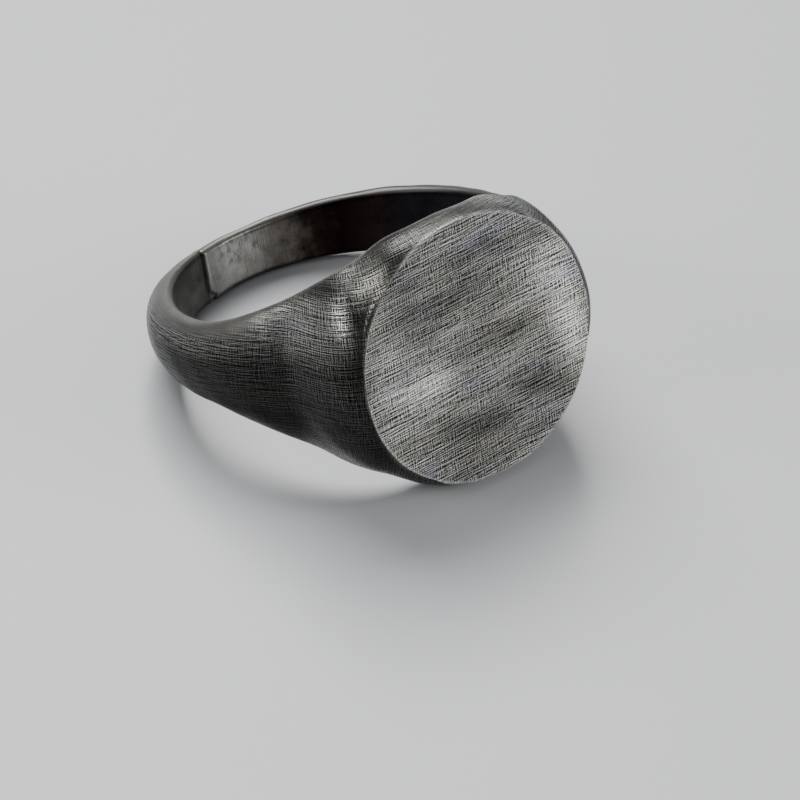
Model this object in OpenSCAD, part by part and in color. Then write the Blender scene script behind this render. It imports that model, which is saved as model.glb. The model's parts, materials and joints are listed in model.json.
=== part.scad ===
// Round signet ring, lying on its side.
// The ring rests on the lower side of its head, just behind the face, and on
// the lower edge of the shank's back, so the face is tipped up a little.
// +X runs toward the face, +Z is up and the origin is at the bottom centre of
// the ring's box.

/* [Finger hole] */
// Radius of the round finger hole
finger_r = 9; // [7.5:0.05:11]

/* [Face] */
// Radius of the round flat face
face_r = 7.1; // [6:0.05:7.6]
// Distance from the middle of the finger hole to the flat face
face_out = 11.3; // [10.2:0.05:12]
// Thickness of the separate face plate
plate_t = 0.9; // [0.5:0.05:1.05]
// Thickness of the solder between the plate and the shank
plate_solder_t = 0.1; // [0.06:0.01:0.15]
// Width of the soft cove where the round boss meets the shoulders
cove = 0.22; // [0.05:0.01:0.5]
// Height of the boss's upright wall, before it tapers into the head
boss_tall = 0.9; // [0.5:0.05:1.2]
// Taper of the boss below that wall, sideways per length
boss_taper = 0.45; // [0.2:0.05:0.8]

/* [Shoulders and shank: half-height across the ring] */
// Half-height of the head, at the middle of the face
half_0 = 7.3; // [7.1:0.05:7.9]
// Half-height 15 degrees round from the face
half_15 = 7.1; // [6.6:0.05:7.5]
// Half-height 30 degrees round
half_30 = 6.1; // [5:0.05:6.6]
// Half-height 60 degrees round
half_60 = 3.85; // [3:0.05:4.6]
// Half-height 90 degrees round, where the shank turns narrow
half_90 = 2.3; // [2.1:0.05:2.9]
// Half-height 130 degrees round
half_130 = 1.8; // [1.5:0.05:2.4]
// Half-height of the shank at the back
half_180 = 1.5; // [1.2:0.05:2.2]

/* [Shoulders and shank: wall thickness] */
// Wall 55 degrees round from the face
wall_55 = 1.55; // [1.4:0.05:2.6]
// Wall 80 degrees round
wall_80 = 1.35; // [1.1:0.05:2]
// Wall 125 degrees round
wall_125 = 1.65; // [1.1:0.05:2]
// Wall at the back of the shank
wall_180 = 1.1; // [0.9:0.05:1.9]

/* [Section shape] */
// Fullness of the head behind the middle of the face, 2 is an ellipse
full_middle = 4; // [2.5:0.1:6]
// Fullness of the shoulders where they reach the rim
full_head = 1.95; // [1.5:0.05:2.6]
// Fullness of the shoulders 60 degrees round
full_60 = 1.5; // [1.4:0.05:2.6]
// Fullness of the shank, higher is squarer
full_shank = 2.45; // [1.8:0.05:4]
// Soft edge between the finger hole and the sides of the head
edge_head = 1.2; // [0.5:0.05:1.4]
// Soft edge between the finger hole and the sides of the shank
edge = 0.45; // [0.15:0.01:0.6]

/* [Closing joint at the back] */
// Where the shank's two ends meet, degrees round from the face
joint_deg = 200; // [165:1:210]
// Gap between the two ends, filled with solder
joint_gap = 0.14; // [0.08:0.01:0.3]
// How far the thinner end is cut back from the finger hole
joint_step = 0.16; // [0.05:0.01:0.3]
// How far round that step fades out, degrees
joint_fade = 38; // [15:1:60]
// Depth the solder is worn below the inside surface
joint_sunk = 0.1; // [0.04:0.01:0.2]

/* [Resolution] */
// Rings of points from the face's middle to its rim, each side
head_steps = 14; // [8:1:20]
// Rings of points from the rim round to the back, each side
shank_steps = 30; // [20:1:40]
// Points from the finger hole to the crown of a section
section_steps = 10; // [8:1:14]

/* [Hidden] */
$fn = 96;

rim_deg = atan(face_r / face_out);            // the face's rim, seen from the finger hole's axis
rim_out = norm([face_r, face_out]);           // how far out that rim is
seam_out = face_out - plate_t;                // underside of the face plate
body_out = seam_out - plate_solder_t;         // top of the shank under the solder
crown_half = 0.05;                            // half the narrow flat along the crown
inner_cut = 0.35;                             // the rough section starts this far inside the hole

// how low a section reaches when the ring is tipped by a: its support distance below the hole's axis
function reach(th, a) = max([for (q = section(th)) q[0] < finger_r ? -99 : q[1] * cos(a) - q[0] * cos(th) * sin(a)]);
function front_reach(a) = max([for (t = [0:4:rim_deg]) reach(t, a)]);
function back_reach(a) = max([for (t = [120:12:180]) reach(t, a)]);
// resting pose: the tip at which the lower side of the head and the back of the shank are equally low
function find_tip(lo, hi, n) = let (m = (lo + hi) / 2)
    n == 0 ? m : (front_reach(m) > back_reach(m) ? find_tip(m, hi, n - 1) : find_tip(lo, m, n - 1));
tip = find_tip(5, 25, 22);
axis_up = max(front_reach(tip), back_reach(tip));
// the ring's box runs from the back of the shank to the upper rim of the face or the lower one
function forward(th, a, s) = max([for (q = section(th)) s * (q[0] * cos(th) * cos(a) - q[1] * sin(a))]);
front_x = forward(0, tip, 1);
back_x = forward(180, tip, -1);
shift_x = (back_x - front_x) / 2;

// smooth curve through knots [[angle, value], ...], flat at both ends
function slope(k, i) = (i <= 0 || i >= len(k) - 1) ? 0 :
    let (a = (k[i][1] - k[i-1][1]) / (k[i][0] - k[i-1][0]),
         b = (k[i+1][1] - k[i][1]) / (k[i+1][0] - k[i][0]))
    a * b <= 0 ? 0 : 2 * a * b / (a + b);
function at(k, x, i = 0) =
    (i >= len(k) - 2 || x <= k[i+1][0]) ?
        let (h = k[i+1][0] - k[i][0], s = min(1, max(0, (x - k[i][0]) / h)))
        k[i][1] * (1 + 2*s) * (1-s) * (1-s) + slope(k, i) * h * s * (1-s) * (1-s)
        + k[i+1][1] * s * s * (3 - 2*s) - slope(k, i+1) * h * s * s * (1-s)
    : at(k, x, i + 1);

// half-height and outer radius of the ring, th degrees round from the face
function half_at(th) = at([[0, half_0], [15, half_15], [30, half_30], [60, half_60], [90, half_90], [130, half_130], [180, half_180]], th);
function wall_at(th) = at([[rim_deg, rim_out - finger_r], [55, wall_55], [80, wall_80], [125, wall_125], [180, wall_180]], th);
function crown_at(th) = th <= rim_deg ? rim_out : finger_r + wall_at(th);
function end_at(th) = th <= rim_deg ? face_out / cos(th) : finger_r + wall_at(th);
function full_at(th) = at([[0, full_middle], [rim_deg, full_head], [60, full_60], [100, full_shank], [180, full_shank]], th);

function edge_at(th) = at([[0, edge_head], [25, edge_head], [60, edge], [180, edge]], th);

// a soft larger-of-two, which leaves a small cove where the two surfaces meet
function soft_max(a, b, k) = let (h = max(0, k - abs(a - b)) / k) max(a, b) + h * h * k / 4;

// half-height of the domed body at radius r
function body_w(th, r) =
    let (x = min(1, max(0, (r - finger_r) / (crown_at(th) - finger_r))),
         p = full_at(th),
         soft = edge_at(th),
         e = min(1, max(0, (r - finger_r) / soft)))
    half_at(th) * pow(max(0, 1 - pow(x, p)), 1 / p) - soft * 0.8 * (1 - sqrt(max(0, 1 - (1 - e) * (1 - e))));

// half-height of the round boss under the face, n out from the hole's axis and t from the middle
function boss_w(n, t) =
    let (b = face_r - boss_taper * max(0, face_out - boss_tall - n))
    sqrt(max(0, b * b - t * t));

function side_w(th, r, s) =
    th < rim_deg - 0.001 ?
        (s >= 0.999 ? boss_w(face_out, r * sin(th)) : soft_max(body_w(th, r), boss_w(r * cos(th), r * sin(th)), cove))
    : max(crown_half, body_w(th, r));

// one section: points [r, w] from inside the hole up, over the crown and back down.
// The first length crosses the finger hole's wall, so that the hole is cut out of it cleanly.
function spread(s) = 1 - pow(1 - s, 1.8);
function section(th) =
    let (r1 = end_at(th),
         up = [for (i = [1:section_steps]) let (s = i / section_steps, r = finger_r + (r1 - finger_r) * spread(s) * (1 - 0.3 * (1 - s)))
               [r, max(crown_half, side_w(th, r, s))]],
         w0 = side_w(th, finger_r, 0),
         w_in = w0 - (up[0][1] - w0) / (up[0][0] - finger_r) * inner_cut)
    concat([[finger_r - inner_cut, w_in]], up,
           [for (i = [section_steps-1:-1:0]) [up[i][0], -up[i][1]]],
           [[finger_r - inner_cut, -w_in]]);

// angles of the sections on one side, spaced evenly along the rim and then round the shank
function head_angles() = [for (i = [0:head_steps]) atan(face_r * sin(90 * i / head_steps) / face_out)];
function shank_angles() = [for (i = [1:shank_steps]) rim_deg + (180 - rim_deg) * pow(i / shank_steps, 1.15)];
function half_angles() = concat(head_angles(), shank_angles());

// a section's points placed round the finger hole: n toward the face, t sideways, w across
function ring_points(th) = [for (q = section(abs(th) > 180 ? 360 - abs(th) : abs(th))) [q[0] * cos(th), q[0] * sin(th), q[1]]];

// joins the sections at the given angles; closed makes a full ring
module loft(angles, closed) {
    m = 2 * section_steps + 2;
    n = len(angles);
    last = closed ? n - 1 : n - 2;
    polyhedron(
        points = [for (th = angles) each ring_points(th)],
        faces = concat(
            [for (i = [0:last]) for (j = [0:m-1])
                let (a = i*m + j, b = i*m + (j+1) % m, c = ((i+1) % n)*m + (j+1) % m, d = ((i+1) % n)*m + j)
                each [[a, c, b], [a, d, c]]],
            closed ? [] : [[for (j = [0:m-1]) j], [for (j = [m-1:-1:0]) (n-1)*m + j]]));
}

module whole_body() {
    a = half_angles();
    k = len(a);
    loft(concat(a, [for (i = [k-2:-1:1]) -a[i]]), true);
}

// only the front of the ring, enough for the plate and its solder
module head_body() {
    far = rim_deg + 14;
    side = concat(head_angles(), [for (i = [1:5]) rim_deg + (far - rim_deg) * i / 5]);
    k = len(side);
    loft(concat([for (i = [k-1:-1:1]) -side[i]], side), false);
}

// a short length of the shank around the joint
module joint_body() {
    loft([for (i = [-3:3]) joint_deg + i * 1.5], false);
}

module finger_hole() {
    translate([0, 0, -12]) cylinder(r = finger_r, h = 24);
}

// the slot between the two ends, square to the shank
module joint_slot(w, from_r) {
    rotate([0, 0, joint_deg]) translate([from_r, -w / 2, -6]) cube([6, w, 12]);
}

// a thin crescent off the inside of one end: deepest at the joint, gone at joint_fade
module joint_relief() {
    shift = (joint_step * joint_step + 2 * finger_r * joint_step)
        / (2 * finger_r * (1 - cos(joint_fade)) + 2 * joint_step);
    r = finger_r + joint_step - shift;
    intersection() {
        rotate([0, 0, joint_deg]) translate([shift, 0, -12]) cylinder(r = r, h = 24);
        rotate([0, 0, joint_deg]) translate([0, 0, -12]) cube([20, 12, 24]);
    }
}

// tips the ring into its resting pose
module rest() {
    translate([shift_x, 0, axis_up]) rotate([0, -tip, 0]) children();
}

module shank() {
    color([0.42, 0.42, 0.40]) rest() difference() {
        whole_body();
        finger_hole();
        translate([body_out, -12, -12]) cube([8, 24, 24]);
        joint_slot(joint_gap, finger_r - 2);
        joint_relief();
    }
}

module shank_solder_joint() {
    color([0.30, 0.30, 0.29]) rest() intersection() {
        joint_body();
        joint_slot(joint_gap, finger_r + joint_step + joint_sunk);
    }
}

module face_plate() {
    color([0.55, 0.55, 0.53]) rest() intersection() {
        head_body();
        translate([seam_out, -12, -12]) cube([8, 24, 24]);
    }
}

module face_solder_seam() {
    color([0.36, 0.36, 0.35]) rest() intersection() {
        head_body();
        translate([body_out, -12, -12]) cube([plate_solder_t, 24, 24]);
    }
}

shank();
shank_solder_joint();
face_plate();
face_solder_seam();
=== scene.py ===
import json
import math

import bmesh
import bpy
import numpy as np
from mathutils import Matrix, Vector


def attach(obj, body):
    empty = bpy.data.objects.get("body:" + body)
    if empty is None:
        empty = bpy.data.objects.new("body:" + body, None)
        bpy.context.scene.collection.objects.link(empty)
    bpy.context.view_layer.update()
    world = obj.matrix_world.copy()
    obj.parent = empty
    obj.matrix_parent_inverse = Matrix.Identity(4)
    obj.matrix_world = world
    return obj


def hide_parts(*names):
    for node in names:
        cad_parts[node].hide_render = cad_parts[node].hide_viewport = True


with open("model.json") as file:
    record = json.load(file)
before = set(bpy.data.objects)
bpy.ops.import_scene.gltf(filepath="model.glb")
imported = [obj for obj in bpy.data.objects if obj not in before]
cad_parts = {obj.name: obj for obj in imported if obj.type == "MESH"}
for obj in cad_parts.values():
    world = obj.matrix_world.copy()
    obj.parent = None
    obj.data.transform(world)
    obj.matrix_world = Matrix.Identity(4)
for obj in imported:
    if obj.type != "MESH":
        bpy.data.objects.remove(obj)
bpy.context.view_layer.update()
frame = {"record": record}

# ------------------------------------------------------------------ design values, mm, as in the CAD part
FINGER_R, FACE_R, FACE_OUT = 9.0, 7.1, 11.3
PLATE_T, SOLDER_T, COVE = 0.9, 0.1, 0.22
BOSS_TALL, BOSS_TAPER = 0.9, 0.45
HALF = [(0, 7.3), (15, 7.1), (30, 6.1), (60, 3.85), (90, 2.3), (130, 1.8), (180, 1.5)]
WALL_55, WALL_80, WALL_125, WALL_180 = 1.55, 1.35, 1.65, 1.1
FULL_MIDDLE, FULL_HEAD, FULL_60, FULL_SHANK = 4.0, 1.95, 1.5, 2.45
EDGE_HEAD, EDGE = 1.2, 0.45
JOINT_DEG, JOINT_GAP, JOINT_STEP, JOINT_FADE, JOINT_SUNK = 200.0, 0.14, 0.16, 38.0, 0.1
BEVEL = 0.03

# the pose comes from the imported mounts: the hole's axis, the face's normal and a point on each
MOUNTS = {m["name"]: m for m in frame["record"]["mounts"]}
W_AX = Vector(MOUNTS["finger_hole"]["axis"]).normalized()
N_AX = Vector(MOUNTS["engraving_face"]["axis"]).normalized()
HOLE = Vector(MOUNTS["finger_hole"]["pos_m"]) * 1000.0
TIP = math.atan2(N_AX.z, N_AX.x)

RIM_DEG = math.degrees(math.atan2(FACE_R, FACE_OUT))
RIM_OUT = math.hypot(FACE_R, FACE_OUT)


def at(knots, x):
    k = np.array(knots, float)
    X, V = k[:, 0], k[:, 1]
    d = np.diff(V) / np.diff(X)
    m = np.zeros(len(X))
    for i in range(1, len(X) - 1):
        if d[i - 1] * d[i] > 0:
            m[i] = 2 * d[i - 1] * d[i] / (d[i - 1] + d[i])
    x = np.asarray(x, float)
    i = np.clip(np.searchsorted(X, x, side="left") - 1, 0, len(X) - 2)
    h = X[i + 1] - X[i]
    s = np.clip((x - X[i]) / h, 0, 1)
    return V[i] * (1 + 2 * s) * (1 - s) ** 2 + m[i] * h * s * (1 - s) ** 2 + V[i + 1] * s * s * (3 - 2 * s) - m[i + 1] * h * s * s * (1 - s)


def half_at(th):
    return at(HALF, th)


def wall_at(th):
    return at([(RIM_DEG, RIM_OUT - FINGER_R), (55, WALL_55), (80, WALL_80), (125, WALL_125), (180, WALL_180)], th)


def crown_at(th):
    return np.where(th <= RIM_DEG, RIM_OUT, FINGER_R + wall_at(th))


def end_at(th):
    return np.where(th <= RIM_DEG, FACE_OUT / np.cos(np.radians(np.minimum(th, RIM_DEG))), FINGER_R + wall_at(th))


def full_at(th):
    return at([(0, FULL_MIDDLE), (RIM_DEG, FULL_HEAD), (60, FULL_60), (100, FULL_SHANK), (180, FULL_SHANK)], th)


def edge_at(th):
    return at([(0, EDGE_HEAD), (25, EDGE_HEAD), (60, EDGE), (180, EDGE)], th)


def soft_max(a, b, k):
    h = np.maximum(0, k - np.abs(a - b)) / k
    return np.maximum(a, b) + h * h * k / 4


def body_w(th, r):
    x = np.clip((r - FINGER_R) / (crown_at(th) - FINGER_R), 0, 1)
    p = full_at(th)
    soft = edge_at(th)
    e = np.clip((r - FINGER_R) / soft, 0, 1)
    return half_at(th) * np.maximum(0, 1 - x**p) ** (1 / p) - soft * 0.8 * (1 - np.sqrt(np.maximum(0, 1 - (1 - e) ** 2)))


def rim_wobble(t, w):
    """How far hand filing has moved the rim in or out, by the angle round the face."""
    a = np.arctan2(w, t)
    v = 0.01 - 0.044 * np.sin(a) + 0.080 * np.cos(2 * a) + 0.043 * np.sin(2 * a) - 0.035 * np.cos(3 * a) + 0.034 * np.sin(3 * a) - 0.073 * np.cos(4 * a) + 0.012 * np.sin(4 * a)
    v = v + 0.006 * np.sin(9 * a + 2.1) + 0.004 * np.sin(17 * a)
    for deg, deep in ((119, 0.05), (112.5, -0.03), (46, 0.04), (33, 0.03)):
        d = np.degrees(np.angle(np.exp(1j * (a - math.radians(deg)))))
        v = v - deep * np.exp(-((d / 2.2) ** 2))
    return v


def boss_w(t, n, side):
    """Half-height of the round boss; its last stretch is the small bevel of the rim."""
    r = FACE_R - np.clip(n - (FACE_OUT - BEVEL), 0, BEVEL) - BOSS_TAPER * np.maximum(0, FACE_OUT - BOSS_TALL - n)
    w = np.sqrt(np.maximum(0, r * r - t * t))
    # near the ends of the wobbly rim the section is a little short or long, so the change fades there
    r = r + rim_wobble(t, side * w) * np.clip((n - 9.8) / 0.8, 0, 1)
    return np.sqrt(np.maximum(0, r * r - t * t))


def side_w(th, r, side=1.0, signed=1.0):
    b = body_w(th, r)
    n = r * np.cos(np.radians(th))
    t = r * np.sin(np.radians(th)) * signed
    bo = boss_w(t, n, side)
    head = th < RIM_DEG - 0.001
    fade = np.clip((FACE_OUT - 0.12 - n) / 0.3, 0, 1)
    return np.maximum(0.05, np.where(head, np.maximum(np.maximum(b, bo), soft_max(b, bo, COVE) * (fade > 0)), b))


def place(n, t, w):
    """Ring coordinates in mm to the row frame in metres."""
    p = (
        np.asarray(n)[..., None] * np.array(N_AX)
        + np.asarray(t)[..., None] * np.array((0.0, 1.0, 0.0))
        + np.asarray(w)[..., None] * np.array(W_AX)
        + np.array(HOLE)
    )
    return p / 1000.0


# ------------------------------------------------------------------ the ring's skin as one grid of sections
def angles():
    head = np.degrees(np.arctan(FACE_R * np.sin(np.linspace(0, np.pi / 2, 91)) / FACE_OUT))
    back = RIM_DEG + (180 - RIM_DEG) * (np.arange(1, 201) / 200) ** 1.1
    one = np.r_[head, back]
    full = np.r_[one, 360 - one[-2:0:-1]]
    extra = np.arange(JOINT_DEG - 5.0, JOINT_DEG + 3.01, 0.1)
    full = np.unique(np.round(np.r_[full, extra], 4))
    keep = [full[0]]
    for a in full[1:]:
        if a - keep[-1] > 0.03:
            keep.append(a)
    return np.array(keep)


def smooth(x):
    x = np.clip(x, 0, 1)
    return x * x * (3 - 2 * x)


def inner_r(deg, w, half):
    """The finger hole's wall, with the step and the groove of the closing joint."""
    # the joint runs straight across, then turns under the thicker end's rounded corner
    low = smooth((-w - 0.30 * half) / (0.62 * half))
    path = JOINT_DEG - 4.2 * low**2
    d = deg - path
    relief = JOINT_STEP * smooth(d / 0.7) * np.clip(1 - np.maximum(d, 0) / JOINT_FADE, 0, 1)
    groove = 0.07 * np.exp(-((d - 0.4) / 0.55) ** 2)
    proud = -0.02 * smooth((d + 9) / 6) * (d < 0) * smooth(-d / 1.2)
    return FINGER_R + relief + groove * (np.abs(w) < half * 1.2) + proud


def build_grid():
    deg = angles()
    fold = np.where(deg > 180, 360 - deg, deg)
    sgn = np.where(deg > 180, -1.0, 1.0)
    n_edge, n_body, n_face, n_in = 12, 52, 26, 26
    # distance out from the hole, as a share of the section: fine at the soft edge and at the crown
    rows, along = [], []
    for a, f, g in zip(deg, fold, sgn):
        r1 = float(end_at(f))
        soft = float(edge_at(f))
        e = soft * (1 - np.cos(np.linspace(0, np.pi / 2, n_edge + 1)))[:-1]
        ph = np.linspace(0, np.pi / 2, n_body + 1)
        rr = FINGER_R + soft + (r1 - FINGER_R - soft) * np.sin(ph)
        if f < RIM_DEG - 0.001:
            c = math.cos(math.radians(f))
            x = np.linspace(0, 1, n_body - 3)
            rr = np.r_[FINGER_R + soft + (r1 - BEVEL / c - FINGER_R - soft) * x, r1 - 0.66 * BEVEL / c, r1 - 0.33 * BEVEL / c, r1 - 1e-5, r1]
        r = np.r_[FINGER_R + e, rr]
        F = np.full_like(r, f)
        up = side_w(F, r, 1.0, g)
        lo = side_w(F, r, -1.0, g)
        h = float(half_at(f))
        # face or crown strip between the two sides
        q = np.linspace(1, -1, n_face + 1)[1:-1]
        strip_w = np.where(q > 0, q * up[-1], q * lo[-1])
        # inner wall, from the lower edge up to the upper edge
        k = np.linspace(-1, 1, n_in + 1)[1:-1]
        in_w = np.where(k < 0, k * lo[0] * -1 * -1, k * up[0])
        in_r = inner_r(np.full_like(in_w, a), in_w, h)
        shift = float(inner_r(a, up[0], h)) - FINGER_R, float(inner_r(a, -lo[0], h)) - FINGER_R
        fade = np.clip(1 - (r - FINGER_R) / (soft * 1.2), 0, 1)
        r_up = r + shift[0] * fade
        r_lo = r + shift[1] * fade
        R = np.r_[r_up, np.full_like(strip_w, r[-1]), r_lo[::-1], in_r]
        W = np.r_[up, strip_w, -lo[::-1], in_w]
        A = math.radians(a)
        rows.append(np.stack([R * math.cos(A), R * math.sin(A), W], -1))
        # distance from the crown's middle, measured over the skin, and the share of the band's half-width
        down_up = np.r_[np.cumsum(np.hypot(np.diff(r), np.diff(up))[::-1])[::-1], 0] + up[-1]
        down_lo = np.r_[np.cumsum(np.hypot(np.diff(r), np.diff(lo))[::-1])[::-1], 0] + lo[-1]
        S = np.r_[down_up, strip_w, -down_lo[::-1], np.where(in_w < 0, -down_lo[0], down_up[0])]
        # 1 on the hole's own wall, fading over the first of the soft edge
        bare = np.clip(1 - (r - FINGER_R) / 0.12, 0, 1)
        B = np.r_[bare, 0 * strip_w, bare[::-1], np.ones_like(in_w)]
        along.append(np.stack([S, np.clip(W / h, -1, 1), B], -1))
    return deg, np.array(rows), np.array(along)


DEG, GRID, BAND = build_grid()


def dents(P):
    """Slight unevenness from hand filing, in mm, smooth over a few millimetres."""
    n, t, w = P[..., 0], P[..., 1], P[..., 2]
    return (
        0.016 * np.sin(0.9 * n + 1.3 * t + 0.4) * np.sin(1.1 * w + 0.5 * t)
        + 0.010 * np.sin(2.3 * t - 1.7 * w + 1.0)
        + 0.007 * np.sin(3.1 * n + 2.2 * w + 0.6 * t)
    )


def grid_mesh():
    P = GRID.copy()
    nt, m, _ = P.shape
    # outward direction in the section, by differences along the two grid directions
    du = np.roll(P, -1, 0) - np.roll(P, 1, 0)
    dv = np.roll(P, -1, 1) - np.roll(P, 1, 1)
    nn = np.cross(du, dv)
    nn /= np.maximum(np.linalg.norm(nn, axis=-1, keepdims=True), 1e-9)
    rad = np.hypot(P[..., 0], P[..., 1])
    off_face = np.clip((FACE_OUT - 0.25 - P[..., 0]) / 0.5, 0, 1)
    off_hole = np.clip((rad - FINGER_R - 0.15) / 0.3, 0, 1)
    out = np.stack([P[..., 0] / rad, P[..., 1] / rad, 0 * rad], -1)
    mid = np.stack([out[..., 0] * 10.0, out[..., 1] * 10.0, 0 * rad], -1)
    flip = np.sign(((P - mid) * nn).sum(-1, keepdims=True))
    flip[flip == 0] = 1
    P += nn * flip * (dents(P) * off_face * off_hole)[..., None]
    verts = place(P[..., 0], P[..., 1], P[..., 2]).reshape(-1, 3)
    i = np.arange(nt)[:, None]
    j = np.arange(m)[None]
    a = i * m + j
    b = ((i + 1) % nt) * m + j
    c = ((i + 1) % nt) * m + (j + 1) % m
    d = i * m + (j + 1) % m
    faces = np.stack([a, b, c, d], -1).reshape(-1, 4)
    mesh = bpy.data.meshes.new("ring_skin")
    mesh.from_pydata(verts.tolist(), [], faces.tolist())
    for k, name in enumerate(("band_s", "band_q", "band_in")):
        mesh.attributes.new(name, "FLOAT", "POINT").data.foreach_set("value", BAND[..., k].reshape(-1).astype(np.float32))
    return mesh


def finish_mesh(bm, name, angle=34):
    bmesh.ops.recalc_face_normals(bm, faces=bm.faces[:])
    mesh = bpy.data.meshes.new(name)
    bm.to_mesh(mesh)
    bm.free()
    for p in mesh.polygons:
        p.use_smooth = True
    mesh.set_sharp_from_angle(angle=math.radians(angle))
    ob = bpy.data.objects.new(name, mesh)
    bpy.context.scene.collection.objects.link(ob)
    return ob


def slice_between(mesh, name, low=None, high=None):
    """The stretch of the ring between two planes square to the face's normal, closed where it is cut."""
    bm = bmesh.new()
    bm.from_mesh(mesh)
    bmesh.ops.remove_doubles(bm, verts=bm.verts[:], dist=1e-8)
    for value, outer in ((low, False), (high, True)):
        if value is None:
            continue
        co = (HOLE + N_AX * value) / 1000.0
        cut = bmesh.ops.bisect_plane(bm, geom=bm.verts[:] + bm.edges[:] + bm.faces[:], dist=1e-9, plane_co=co, plane_no=N_AX, clear_outer=outer, clear_inner=not outer)
        edges = [g for g in cut["geom_cut"] if isinstance(g, bmesh.types.BMEdge) and len(g.link_faces) == 1]
        bmesh.ops.holes_fill(bm, edges=edges, sides=0)
    return finish_mesh(bm, name)


skin = grid_mesh()
shank = slice_between(skin, "ring_shank", high=FACE_OUT - PLATE_T - SOLDER_T)
plate = slice_between(skin, "ring_face", low=FACE_OUT - PLATE_T)
seam = slice_between(skin, "ring_face_solder", low=FACE_OUT - PLATE_T - SOLDER_T, high=FACE_OUT - PLATE_T)


def joint_piece():
    """The solder in the closing joint: a thin slip that follows the shank's outline, just proud of it."""
    f = 360 - JOINT_DEG
    r1 = float(end_at(f))
    r = FINGER_R + JOINT_STEP + JOINT_SUNK + (r1 - FINGER_R - JOINT_STEP - JOINT_SUNK) * np.sin(np.linspace(0, np.pi / 2, 22))
    w = side_w(np.full_like(r, f), r)
    r, w = r + 0.006, w + 0.006
    loop = [(a, b) for a, b in zip(r, w)] + [(a, -b) for a, b in zip(r[::-1], w[::-1])]
    k = np.linspace(-1, 1, 14)[1:-1]
    loop += [(r[0] - 0.03 * (1 - abs(v) ** 2), v * w[0]) for v in k]
    bm = bmesh.new()
    rings = []
    for s in (-0.5, -0.3, 0, 0.3, 0.5):
        pinch = 0.012 * (abs(s) * 2) ** 3
        row = []
        for a, b in loop:
            y = s * JOINT_GAP
            A = math.radians(JOINT_DEG)
            a2 = a - pinch * (1 if a > 9.6 else -1)
            n = a2 * math.cos(A) - y * math.sin(A)
            t = a2 * math.sin(A) + y * math.cos(A)
            row.append(bm.verts.new(place(n, t, b * (1 - pinch / 2)).tolist()))
        rings.append(row)
    for p, q in zip(rings, rings[1:]):
        for i in range(len(p)):
            j = (i + 1) % len(p)
            bm.faces.new((p[i], p[j], q[j], q[i]))
    bm.faces.new(rings[0])
    bm.faces.new(rings[-1][::-1])
    return finish_mesh(bm, "ring_joint_solder", 40)


joint = joint_piece()
bpy.data.meshes.remove(skin)

for ob, node, slot in (
    (shank, "shank", "shank_silver"),
    (plate, "face_plate", "face_silver"),
    (seam, "face_solder_seam", "seam_solder"),
    (joint, "shank_solder_joint", "joint_solder"),
):
    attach(ob, "root")
    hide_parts(node)

# ------------------------------------------------------------------ materials


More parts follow.
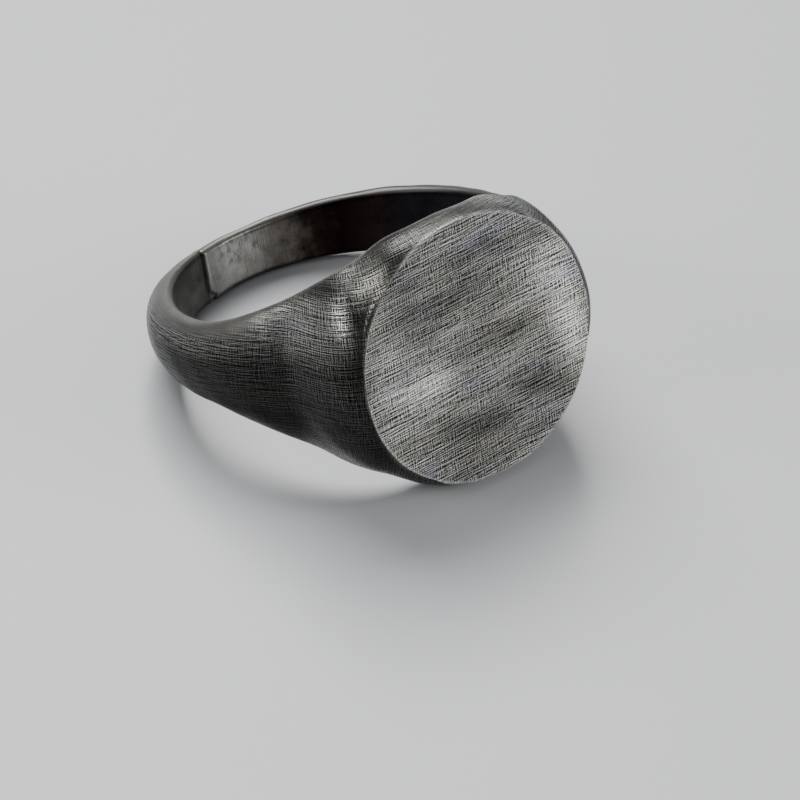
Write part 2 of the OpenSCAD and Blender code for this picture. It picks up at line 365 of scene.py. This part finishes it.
class Tree:
    """Small helpers that add nodes to a material."""

    def __init__(self, name):
        self.mat = bpy.data.materials.new(name)
        self.mat.use_nodes = True
        self.nt = self.mat.node_tree
        self.nt.nodes.clear()
        self.out = self.nt.nodes.new("ShaderNodeOutputMaterial")

    def put(self, value, socket):
        if isinstance(value, bpy.types.NodeSocket):
            self.nt.links.new(value, socket)
        else:
            socket.default_value = value

    def m(self, op, a, b=0.0, c=0.0, clamp=False):
        n = self.nt.nodes.new("ShaderNodeMath")
        n.operation = op
        n.use_clamp = clamp
        for v, s in zip((a, b, c), n.inputs):
            self.put(v, s)
        return n.outputs[0]

    def attr(self, name):
        n = self.nt.nodes.new("ShaderNodeAttribute")
        n.attribute_name = name
        return n.outputs["Fac"]

    def dot(self, v, const):
        n = self.nt.nodes.new("ShaderNodeVectorMath")
        n.operation = "DOT_PRODUCT"
        self.nt.links.new(v, n.inputs[0])
        n.inputs[1].default_value = const
        return n.outputs["Value"]

    def xyz(self, x, y, z):
        n = self.nt.nodes.new("ShaderNodeCombineXYZ")
        for v, s in zip((x, y, z), n.inputs):
            self.put(v, s)
        return n.outputs[0]

    def noise(self, vec, detail=3.0, rough=0.55, dist=0.0, scale=1.0, lac=2.0):
        n = self.nt.nodes.new("ShaderNodeTexNoise")
        n.inputs["Scale"].default_value = scale
        n.inputs["Detail"].default_value = detail
        n.inputs["Roughness"].default_value = rough
        n.inputs["Lacunarity"].default_value = lac
        n.inputs["Distortion"].default_value = dist
        self.nt.links.new(vec, n.inputs["Vector"])
        return n.outputs["Fac"]

    def ramp(self, fac, stops, interp="LINEAR"):
        n = self.nt.nodes.new("ShaderNodeValToRGB")
        cr = n.color_ramp
        cr.interpolation = interp
        while len(cr.elements) < len(stops):
            cr.elements.new(0.5)
        for e, (p, c) in zip(cr.elements, stops):
            e.position = p
            e.color = (c[0], c[1], c[2], 1.0) if not isinstance(c, (int, float)) else (c, c, c, 1.0)
        self.nt.links.new(fac, n.inputs[0])
        return n.outputs[0]

    def step(self, v, lo, hi):
        """0 below lo, 1 above hi, smooth between; lo may be above hi."""
        n = self.nt.nodes.new("ShaderNodeMapRange")
        n.interpolation_type = "SMOOTHSTEP"
        self.put(v, n.inputs[0])
        n.inputs[1].default_value = min(lo, hi)
        n.inputs[2].default_value = max(lo, hi)
        n.inputs[3].default_value = 0.0 if lo < hi else 1.0
        n.inputs[4].default_value = 1.0 if lo < hi else 0.0
        return n.outputs[0]

    def mix(self, f, a, b, kind="MIX"):
        n = self.nt.nodes.new("ShaderNodeMix")
        n.data_type = "RGBA"
        n.blend_type = kind
        self.put(f, n.inputs[0])
        for v, s in ((a, n.inputs[6]), (b, n.inputs[7])):
            if isinstance(v, (int, float)):
                v = (v, v, v, 1.0)
            elif isinstance(v, tuple) and len(v) == 3:
                v = (*v, 1.0)
            self.put(v, s)
        return n.outputs[2]

    def fmix(self, f, a, b):
        n = self.nt.nodes.new("ShaderNodeMix")
        n.data_type = "FLOAT"
        self.put(f, n.inputs[0])
        self.put(a, n.inputs[2])
        self.put(b, n.inputs[3])
        return n.outputs[0]


def silver(name, tone=1.0, seed=0.0, tarnish=0.0, banded=True):
    T = Tree(name)
    tc = T.nt.nodes.new("ShaderNodeTexCoord")
    P = tc.outputs["Object"]
    # ring coordinates, mm
    h = HOLE / 1000.0
    n = T.m("SUBTRACT", T.dot(P, tuple(N_AX * 1000)), float(N_AX.dot(h) * 1000))
    t = T.dot(P, (0.0, 1000.0, 0.0))
    w = T.m("SUBTRACT", T.dot(P, tuple(W_AX * 1000)), float(W_AX.dot(h) * 1000))
    j = math.radians(JOINT_DEG - 180)
    n2 = T.m("ADD", T.m("MULTIPLY", n, math.cos(j)), T.m("MULTIPLY", t, math.sin(j)))
    t2 = T.m("SUBTRACT", T.m("MULTIPLY", t, math.cos(j)), T.m("MULTIPLY", n, math.sin(j)))
    # the turn round the finger: 0 at the closing joint's far side, so nothing wraps except at the joint
    ang = T.m("ARCTAN2", t2, n2)
    deg = T.m("MULTIPLY", ang, 180 / math.pi)
    arc = T.m("MULTIPLY", ang, 10.5)
    r = T.m("SQRT", T.m("ADD", T.m("MULTIPLY", n, n), T.m("MULTIPLY", t, t)))
    face_d = T.m("SQRT", T.m("ADD", T.m("MULTIPLY", w, w), T.m("MULTIPLY", t, t)))
    if banded:
        s, q, bare = T.attr("band_s"), T.attr("band_q"), T.attr("band_in")
    else:
        s, q, bare = w, T.m("DIVIDE", w, 1.6), T.step(r, FINGER_R + 0.45, FINGER_R + 0.35)

    # masks
    on_face = T.step(n, FACE_OUT - BEVEL * 0.9, FACE_OUT - BEVEL * 0.15)
    inside = T.step(bare, 0.05, 0.75)
    rim = T.m("MULTIPLY", T.step(n, FACE_OUT - 0.10, FACE_OUT - 0.045), T.step(face_d, FACE_R - 0.055, FACE_R - 0.02))
    cove = T.m("MULTIPLY", T.m("MULTIPLY", T.step(n, FACE_OUT - 0.08, FACE_OUT - 0.26), T.step(n, 9.6, 10.5)), T.step(face_d, FACE_R + 0.50, FACE_R + 0.02))
    top_edge = T.m("MULTIPLY", T.step(q, 0.80, 0.97), T.step(r, FINGER_R + 1.0, FINGER_R + 0.3))
    low_edge = T.m("MULTIPLY", T.step(q, -0.86, -0.98), T.step(r, FINGER_R + 0.8, FINGER_R + 0.3))

    def streaks(u, v, along, across, turn, off, detail=1.0, rough=0.5, wave=0.0):
        c, sn = math.cos(math.radians(turn)), math.sin(math.radians(turn))
        a = T.m("ADD", T.m("MULTIPLY", u, c), T.m("MULTIPLY", v, sn))
        b = T.m("SUBTRACT", T.m("MULTIPLY", v, c), T.m("MULTIPLY", u, sn))
        if wave:
            b = T.m("ADD", b, T.m("MULTIPLY", T.noise(T.xyz(T.m("MULTIPLY", a, 0.22), T.m("MULTIPLY", b, 0.3), off), 1.0), wave))
        return T.noise(T.xyz(T.m("MULTIPLY", a, along), T.m("MULTIPLY", b, across), off + seed), detail, rough)

    def crisp(u, v, along, across, turn, off, wave=0.2):
        # fine marks only: two neighbouring strips of the same noise, one taken from the other
        c, sn = math.cos(math.radians(turn)), math.sin(math.radians(turn))
        a = T.m("ADD", T.m("MULTIPLY", u, c), T.m("MULTIPLY", v, sn))
        b = T.m("SUBTRACT", T.m("MULTIPLY", v, c), T.m("MULTIPLY", u, sn))
        b = T.m("ADD", b, T.m("MULTIPLY", T.noise(T.xyz(T.m("MULTIPLY", a, 0.22), T.m("MULTIPLY", b, 0.3), off), 1.0), wave))
        x, y = T.m("MULTIPLY", a, along), T.m("MULTIPLY", b, across)
        one = T.noise(T.xyz(x, y, off + seed), 0.0, 0.5)
        two = T.noise(T.xyz(x, T.m("ADD", y, 1.0), off + seed), 0.0, 0.5)
        return T.m("ADD", T.m("SUBTRACT", one, two), 0.5)

    def term(v, k):
        return T.m("MULTIPLY", T.m("SUBTRACT", v, 0.5), k)

    def total(*parts):
        out = parts[0]
        for p in parts[1:]:
            out = T.m("ADD", out, p)
        return out

    # one set of brush marks: u runs with the main marks, v across them; the face has its own pair
    u = T.fmix(on_face, arc, t)
    v = T.fmix(on_face, s, T.m("ADD", w, 31.7))
    marks = crisp(u, v, 0.55, 20.0, 1.5, 7.7)
    marks2 = crisp(u, v, 0.9, 18.0, 7.0, 27.7)
    across = crisp(v, u, 1.0, 21.0, 4.0, 5.9)
    across2 = crisp(v, u, 1.5, 19.0, -7.0, 45.9)
    wide = streaks(u, v, 0.10, 2.1, 1.5, 1.3, 1.0, 0.5, 0.2)
    hair = streaks(u, v, 0.30, 22.0, 4.0, 61.3, 0.0, 0.5, 0.2)
    hair2 = streaks(u, v, 0.34, 19.0, -6.0, 81.3, 0.0, 0.5, 0.2)
    cloud = T.noise(T.xyz(T.m("MULTIPLY", n, 0.33), T.m("MULTIPLY", t, 0.33), T.m("ADD", T.m("MULTIPLY", w, 0.33), seed + 4.2)), 3.0, 0.6)
    cloud2 = T.noise(T.xyz(T.m("MULTIPLY", n, 1.1), T.m("MULTIPLY", t, 1.1), T.m("ADD", T.m("MULTIPLY", w, 1.1), seed + 9.2)), 4.0, 0.65)
    grit = T.noise(T.xyz(T.m("MULTIPLY", n, 24.0), T.m("MULTIPLY", t, 24.0), T.m("ADD", T.m("MULTIPLY", w, 24.0), seed)), 0.0, 0.5)

    scratch = T.m("MAXIMUM", T.step(hair, 0.66, 0.74), T.step(hair2, 0.68, 0.76))
    groove = T.m("MAXIMUM", T.step(hair, 0.33, 0.25), T.step(hair2, 0.31, 0.24))
    fine = total(term(marks, 2.35), term(marks2, 1.3), term(across, 1.7), term(across2, 0.95), term(grit, 2.2))
    fine = total(fine, T.m("MULTIPLY", scratch, 0.30), T.m("MULTIPLY", groove, -0.18))
    top_wear_and_painted_light = T.m("MULTIPLY", T.step(q, 0.62, 0.90), T.step(T.m("ABSOLUTE", t), 7.2, 9.2))
    top_wear_and_painted_light = T.m("MAXIMUM", top_wear_and_painted_light, T.m("MULTIPLY", T.step(q, 0.62, 0.90), T.step(n, 0.0, -3.0)))
    calm = T.m("SUBTRACT", 1.0, T.m("MAXIMUM", T.m("MULTIPLY", T.m("MAXIMUM", top_edge, low_edge), 0.45), T.m("MULTIPLY", top_wear_and_painted_light, 0.80)))
    val = total(T.m("MULTIPLY", fine, calm), term(wide, 0.42), term(cloud, 0.20), term(cloud2, 0.08), 0.47)
    col = T.ramp(val, [(0.0, 0.035), (0.28, 0.10), (0.50, 0.20), (0.70, 0.38), (1.05, 0.85)])

    # tone of the face: painted highlights and painted shade placed in patches, over a random tone
    def blob(a, b, ra, rb, turn=0.0):
        c, sn = math.cos(math.radians(turn)), math.sin(math.radians(turn))
        x = T.m("MULTIPLY", T.m("ADD", T.m("MULTIPLY", T.m("SUBTRACT", t, a), c), T.m("MULTIPLY", T.m("SUBTRACT", w, b), sn)), 1 / ra)
        y = T.m("MULTIPLY", T.m("SUBTRACT", T.m("MULTIPLY", T.m("SUBTRACT", w, b), c), T.m("MULTIPLY", T.m("SUBTRACT", t, a), sn)), 1 / rb)
        return T.m("EXPONENT", T.m("MULTIPLY", T.m("ADD", T.m("MULTIPLY", x, x), T.m("MULTIPLY", y, y)), -1.0))

    face_painted_light_and_tone = total(
        0.30,
        T.m("MULTIPLY", blob(5.0, 2.5, 2.0, 1.4, 10), 0.36),
        T.m("MULTIPLY", blob(5.9, -0.6, 1.1, 2.6, 8), 0.72),
        T.m("MULTIPLY", blob(-3.2, -1.1, 1.5, 1.3), 0.50),
        T.m("MULTIPLY", blob(-5.6, 0.4, 1.2, 3.0), 0.22),
        T.m("MULTIPLY", blob(1.6, 0.3, 2.8, 0.8, 3), -0.12),
        T.m("MULTIPLY", blob(1.0, -4.4, 4.2, 1.3, 5), -0.16),
        T.m("MULTIPLY", blob(-1.6, 3.6, 2.6, 0.9, -3), -0.06),
        term(T.noise(T.xyz(T.m("MULTIPLY", t, 0.30), T.m("MULTIPLY", w, 0.75), 3.3), 2.0, 0.5), 0.55),
    )
    # the band: painted light along its upper side and painted shade low down
    band_painted_light_and_tone = T.ramp(T.m("ADD", T.m("MULTIPLY", q, 0.5), 0.5), [(0.0, 0.06), (0.20, 0.085), (0.42, 0.10), (0.62, 0.138), (0.78, 0.60), (0.92, 0.84), (1.0, 0.52)])
    band_painted_light_and_tone = T.m("MULTIPLY", band_painted_light_and_tone, total(1.0, term(T.noise(T.xyz(T.m("MULTIPLY", arc, 0.22), T.m("MULTIPLY", s, 0.6), 8.8), 2.0, 0.5), 0.7)))
    # painted shade: the band darker towards both sides of the ring
    band_painted_light_and_tone = T.m("MULTIPLY", band_painted_light_and_tone, T.ramp(T.m("ADD", T.m("DIVIDE", t, 24.0), 0.5), [(0.0, 0.50), (0.12, 0.62), (0.26, 1.05), (0.62, 1.05), (0.72, 0.50), (1.0, 0.42)]))
    # painted highlights and painted shade along the upper band, set by place round the ring
    ridge_painted_light = T.ramp(
        T.m("ADD", T.m("DIVIDE", t, 24.0), 0.5),
        [(0.165, 1.15), (0.203, 1.35), (0.220, 0.85), (0.236, 0.50), (0.252, 0.62), (0.283, 1.12), (0.308, 0.90), (0.332, 0.42), (0.40, 0.30), (0.475, 0.55), (0.565, 1.05), (0.625, 2.1), (0.675, 0.8), (0.717, 0.36)],
    )
    band_painted_light_and_tone = T.fmix(T.step(w, 2.8, 4.0), band_painted_light_and_tone, T.m("MULTIPLY", band_painted_light_and_tone, ridge_painted_light))
    # painted shade in two patches that dull highlights on the shoulder and on the ridge
    band_painted_light_and_tone = T.m("MULTIPLY", band_painted_light_and_tone, T.m("SUBTRACT", 1.0, T.m("MULTIPLY", blob(-6.40, 4.1, 0.45, 1.4), 0.45)))
    band_painted_light_and_tone = T.m("MULTIPLY", band_painted_light_and_tone, T.m("SUBTRACT", 1.0, T.m("MULTIPLY", blob(-3.3, 6.9, 1.0, 0.7), 0.40)))
    painted_light_and_tone = T.fmix(on_face, band_painted_light_and_tone, face_painted_light_and_tone)
    col = T.mix(1.0, col, T.xyz(painted_light_and_tone, painted_light_and_tone, painted_light_and_tone), "MULTIPLY")

    # faint oxide tints drawn out along the marks: violet, neutral, straw, a little red
    tn = T.noise(T.xyz(T.m("MULTIPLY", u, 0.20), T.m("MULTIPLY", v, 0.55), seed + 21.0), 2.0)
    tint = T.ramp(tn, [(0.28, (0.93, 0.94, 1.05)), (0.42, (0.99, 1.0, 1.0)), (0.58, (1.0, 1.0, 0.96)), (0.74, (1.04, 1.02, 0.90))])
    red = T.step(T.noise(T.xyz(T.m("MULTIPLY", u, 0.4), T.m("MULTIPLY", v, 0.7), seed + 33.0), 1.0), 0.66, 0.80)
    tint = T.mix(T.m("MULTIPLY", red, 0.5), tint, (1.10, 0.96, 0.93))
    col = T.mix(1.0, col, tint, "MULTIPLY")
    col = T.mix(1.0, col, (1.0, 0.99, 0.945), "MULTIPLY")

    lite = (0.42, 0.42, 0.40)
    dark = (0.030, 0.030, 0.030)
    # painted highlight in patches along the upper edge by the hole
    col = T.mix(T.m("MULTIPLY", T.m("MULTIPLY", top_edge, 0.40), T.step(cloud2, 0.2, 0.6)), col, (0.22, 0.217, 0.205))
    # painted shade over the far side of the ring
    far = T.m("MULTIPLY", T.step(t, -1.5, 3.5), T.step(n, 4.0, 1.0))
    # the top of the back shank lighter: painted light on the upward faces, with calmer marks there as wear
    col = T.mix(T.m("MULTIPLY", top_wear_and_painted_light, 0.62), col, (0.250, 0.247, 0.230))
    col = T.mix(T.m("MULTIPLY", far, 0.62), col, dark)
    # painted highlight along the rim's bevel
    col = T.mix(T.m("MULTIPLY", rim, 0.22), col, lite)
    # painted shade in the cove between the rim and the shoulder, partly oxide kept in the recess
    col = T.mix(T.m("MULTIPLY", cove, 0.70), col, dark)
    if tarnish:
        col = T.mix(tarnish, col, dark)
    if tone != 1.0:
        col = T.mix(1.0, col, tone, "MULTIPLY")

    # the inside: painted light by the joint, brown further round, then near black as a painted reflection of dark
    # surroundings
    place_in = T.m("ADD", T.m("DIVIDE", deg, 360.0), 0.5)
    wob = T.m("MULTIPLY", T.m("SUBTRACT", cloud2, 0.5), 0.045)
    inner_painted_light_and_tone = T.ramp(
        T.m("ADD", place_in, wob),
        [
            (0.000, (0.085, 0.085, 0.078)),
            (0.035, (0.140, 0.140, 0.129)),
            (0.120, (0.210, 0.207, 0.193)),
            (0.250, (0.070, 0.070, 0.068)),
            (0.500, (0.022, 0.022, 0.024)),
            (0.780, (0.016, 0.016, 0.020)),
            (0.820, (0.022, 0.014, 0.013)),
            (0.855, (0.010, 0.006, 0.005)),
            (0.880, (0.036, 0.025, 0.020)),
            (0.905, (0.165, 0.148, 0.130)),
            (0.945, (0.215, 0.210, 0.193)),
            (0.990, (0.235, 0.235, 0.219)),
            (1.000, (0.210, 0.210, 0.194)),
        ],
    )
    soft = total(term(cloud2, 1.3), term(across, 0.45), term(wide, 0.5), term(grit, 0.3), 0.5)
    in_col = T.mix(1.0, inner_painted_light_and_tone, T.ramp(soft, [(0.15, 0.50), (0.5, 1.0), (0.85, 1.45)]), "MULTIPLY")
    spots = T.noise(T.xyz(T.m("MULTIPLY", n, 2.4), T.m("MULTIPLY", t, 2.4), T.m("MULTIPLY", w, 2.4)), 2.0, 0.5)
    near_joint = T.m("MULTIPLY", T.m("MULTIPLY", T.step(deg, 148, 160), T.step(deg, 178, 172)), T.step(w, -0.35, 0.25))
    pit = T.m("MULTIPLY", T.m("MULTIPLY", T.step(spots, 0.50, 0.64), near_joint), T.step(r, FINGER_R + 0.6, FINGER_R + 0.3))
    in_col = T.mix(T.m("MULTIPLY", pit, 0.62), in_col, (0.060, 0.072, 0.080))
    col = T.mix(inside, col, in_col)

    rough = total(0.40, T.m("MULTIPLY", T.m("SUBTRACT", 0.5, val), 0.18), term(cloud2, 0.10))
    rough_in = total(0.36, term(cloud2, 0.2))
    rough = T.m("MAXIMUM", T.m("MINIMUM", T.fmix(inside, rough, rough_in), 0.62), 0.24)

    hgt = total(T.m("MULTIPLY", T.m("MULTIPLY", marks, 0.45), calm), T.m("MULTIPLY", marks2, 0.20), T.m("MULTIPLY", T.m("MULTIPLY", across, 0.30), calm), T.m("MULTIPLY", across2, 0.15), T.m("MULTIPLY", wide, 0.25), T.m("MULTIPLY", scratch, -0.15), T.m("MULTIPLY", groove, -0.2))
    hgt_in = total(T.m("MULTIPLY", across, 0.15), T.m("MULTIPLY", cloud2, 0.9), T.m("MULTIPLY", pit, -0.9))
    hgt = T.fmix(inside, hgt, hgt_in)
    bump = T.nt.nodes.new("ShaderNodeBump")
    bump.inputs["Strength"].default_value = 0.6
    bump.inputs["Distance"].default_value = 0.000012
    T.nt.links.new(hgt, bump.inputs["Height"])

    bsdf = T.nt.nodes.new("ShaderNodeBsdfPrincipled")
    bsdf.inputs["Metallic"].default_value = 1.0
    T.nt.links.new(col, bsdf.inputs["Base Color"])
    T.nt.links.new(rough, bsdf.inputs["Roughness"])
    T.nt.links.new(bump.outputs[0], bsdf.inputs["Normal"])
    T.nt.links.new(bsdf.outputs[0], T.out.inputs[0])
    return T.mat


M_SHANK = silver("silver_shank")
M_FACE = silver("silver_face")
M_SEAM = silver("solder_face", tarnish=0.12)
M_JOINT = silver("solder_joint", tone=0.6, seed=2.0, tarnish=0.35, banded=False)
for ob, mat in ((shank, M_SHANK), (plate, M_FACE), (seam, M_SEAM), (joint, M_JOINT)):
    ob.data.materials.clear()
    ob.data.materials.append(mat)

# ------------------------------------------------------------------ floor
bpy.ops.mesh.primitive_grid_add(x_subdivisions=8, y_subdivisions=8, size=3.0, location=(0, 0, 0))
floor = bpy.context.object
floor.name = "floor"
F = Tree("floor_pale")
fb = F.nt.nodes.new("ShaderNodeBsdfPrincipled")
fb.inputs["Base Color"].default_value = (0.62, 0.63, 0.65, 1)
fb.inputs["Roughness"].default_value = 0.35
F.nt.links.new(fb.outputs[0], F.out.inputs[0])
floor.data.materials.append(F.mat)

# ------------------------------------------------------------------ light
world = bpy.data.worlds.new("studio")
bpy.context.scene.world = world
world.use_nodes = True
world.node_tree.nodes["Background"].inputs[0].default_value = (1.0, 1.0, 1.0, 1)
world.node_tree.nodes["Background"].inputs[1].default_value = 0.22


def soft_light(name, where, target, size, power, colour=(1, 1, 1)):
    d = bpy.data.lights.new(name, "AREA")
    d.shape = "RECTANGLE"
    d.size, d.size_y = size
    d.energy = power
    d.color = colour
    ob = bpy.data.objects.new(name, d)
    bpy.context.scene.collection.objects.link(ob)
    ob.location = where
    ob.rotation_euler = (Vector(target) - Vector(where)).to_track_quat("-Z", "Y").to_euler()
    return ob


soft_light("key_back", (-0.34, 0.10, 0.40), (0, 0, 0.006), (0.40, 0.30), 3.6)
soft_light("front_right", (0.36, 0.30, 0.16), (0, 0, 0.006), (0.30, 0.22), 1.6)
soft_light("left_high", (-0.16, -0.40, 0.26), (0, 0, 0.006), (0.26, 0.16), 0.6)

# ------------------------------------------------------------------ camera
CAM = dict(az=-37.9739, el=37.9385, roll=0.9365, dist=0.561, f=10836.8, target=(0.00410153, -0.00095832, 0.00115028))
az, el, roll = (math.radians(CAM[k]) for k in ("az", "el", "roll"))
back = Vector((math.cos(az) * math.cos(el), math.sin(az) * math.cos(el), math.sin(el)))
right = Vector((-math.sin(az), math.cos(az), 0))
up = back.cross(right)
R = right * math.cos(roll) + up * math.sin(roll)
U = -right * math.sin(roll) + up * math.cos(roll)
cam_data = bpy.data.cameras.new("camera")
cam_data.sensor_width = 36.0
cam_data.lens = CAM["f"] / 800.0 * 36.0
cam_data.clip_start, cam_data.clip_end = 0.01, 20.0
cam = bpy.data.objects.new("camera", cam_data)
bpy.context.scene.collection.objects.link(cam)
M = Matrix((R, U, back)).transposed().to_4x4()
M.translation = Vector(CAM["target"]) + back * CAM["dist"]
cam.matrix_world = M
bpy.context.scene.camera = cam

bpy.context.view_layer.update()
